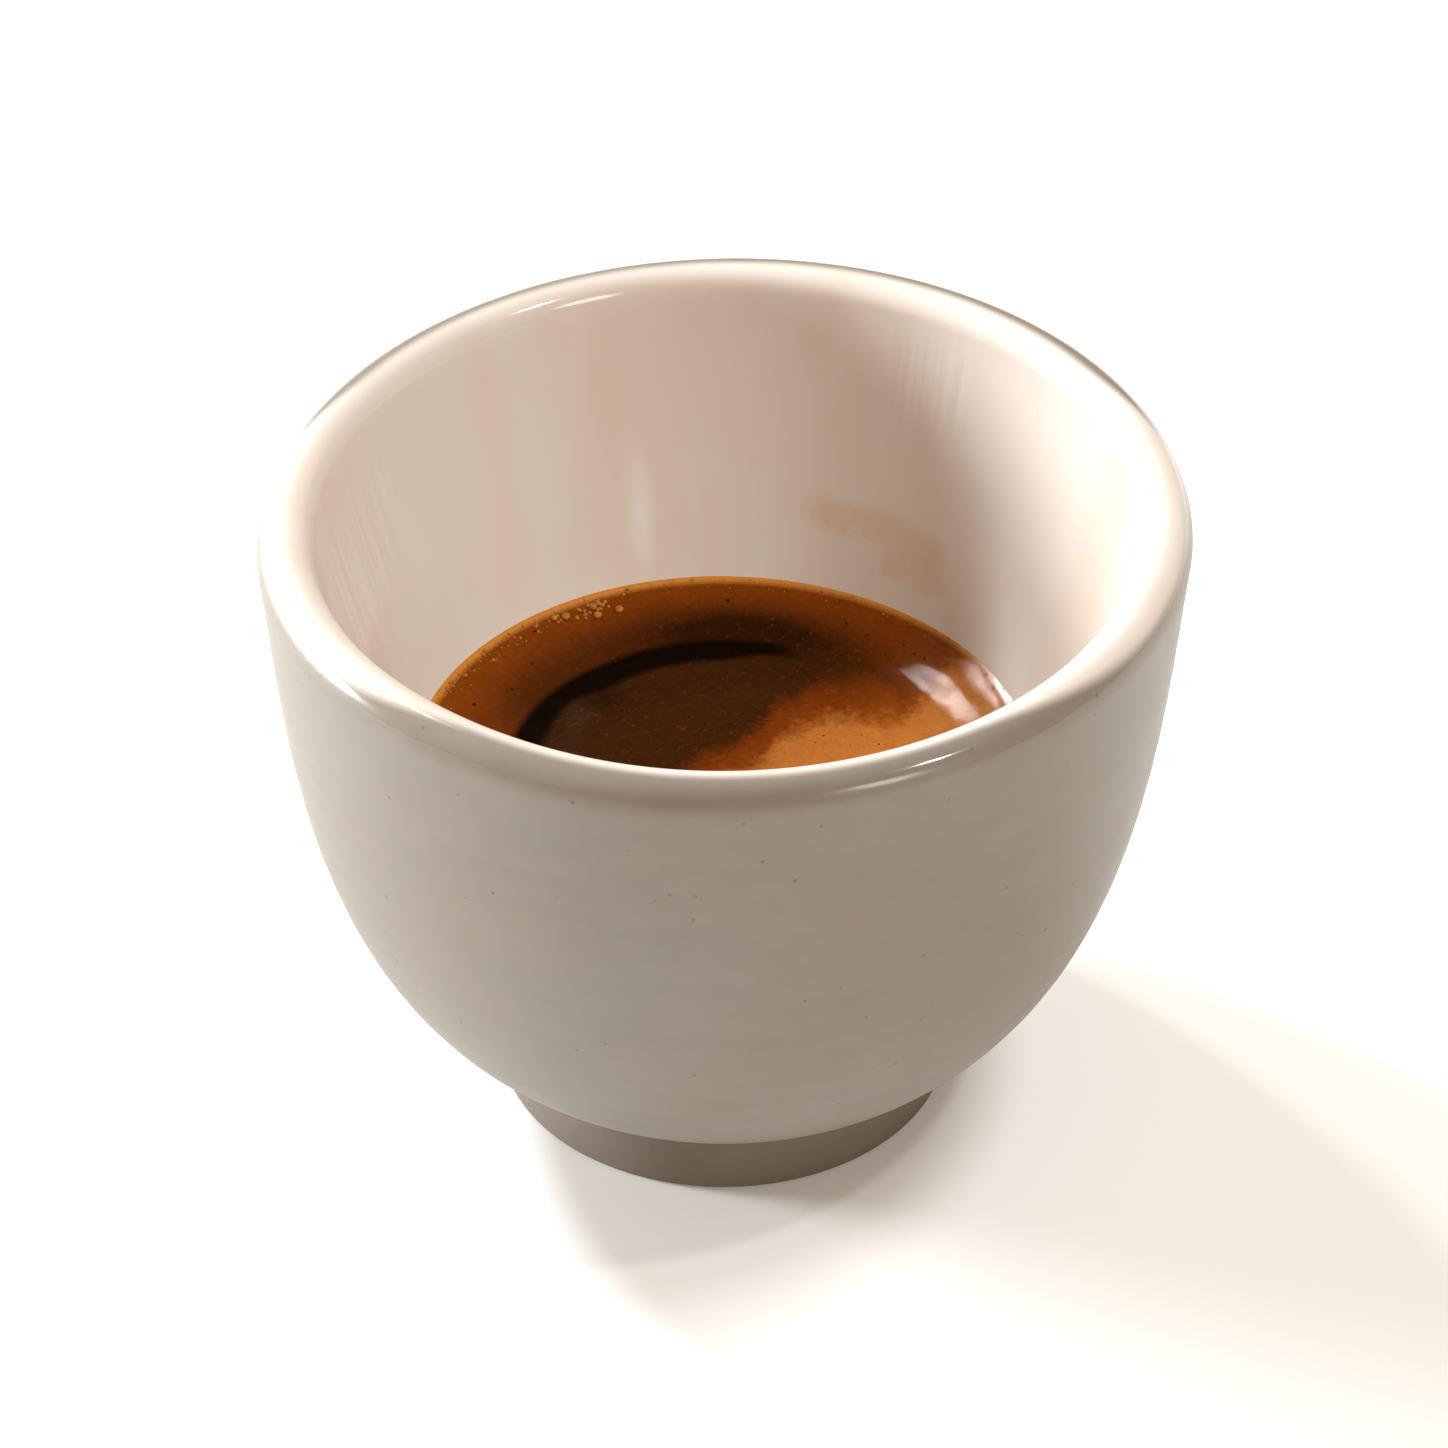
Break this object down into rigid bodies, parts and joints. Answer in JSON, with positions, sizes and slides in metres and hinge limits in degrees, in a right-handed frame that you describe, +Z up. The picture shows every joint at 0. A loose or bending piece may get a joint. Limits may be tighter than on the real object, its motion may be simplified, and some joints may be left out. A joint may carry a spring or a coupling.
{
  "type": "espresso shot",
  "caption": "Short black coffee with an orange-brown crema in a thick-walled handleless stoneware cup with a rounded rim and a foot ring.",
  "frame": {"origin": "centre of the foot, on the surface the cup stands on", "axes": "+Z up along the axis the cup is turned about; the cup is round, so +X and +Y are free"},
  "size_m": [0.075, 0.075, 0.056],
  "materials": {
    "stoneware": "satin off-white glaze with small specks, glossier on the rim and inside, bare clay on the foot",
    "coffee": "dark clear liquid",
    "crema": "wet fine foam, golden where it is thick and dark brown where it thins"
  },
  "bodies": {
    "root": {"cup": "stoneware", "coffee": "coffee", "crema": "crema"}
  },
  "joints": []
}
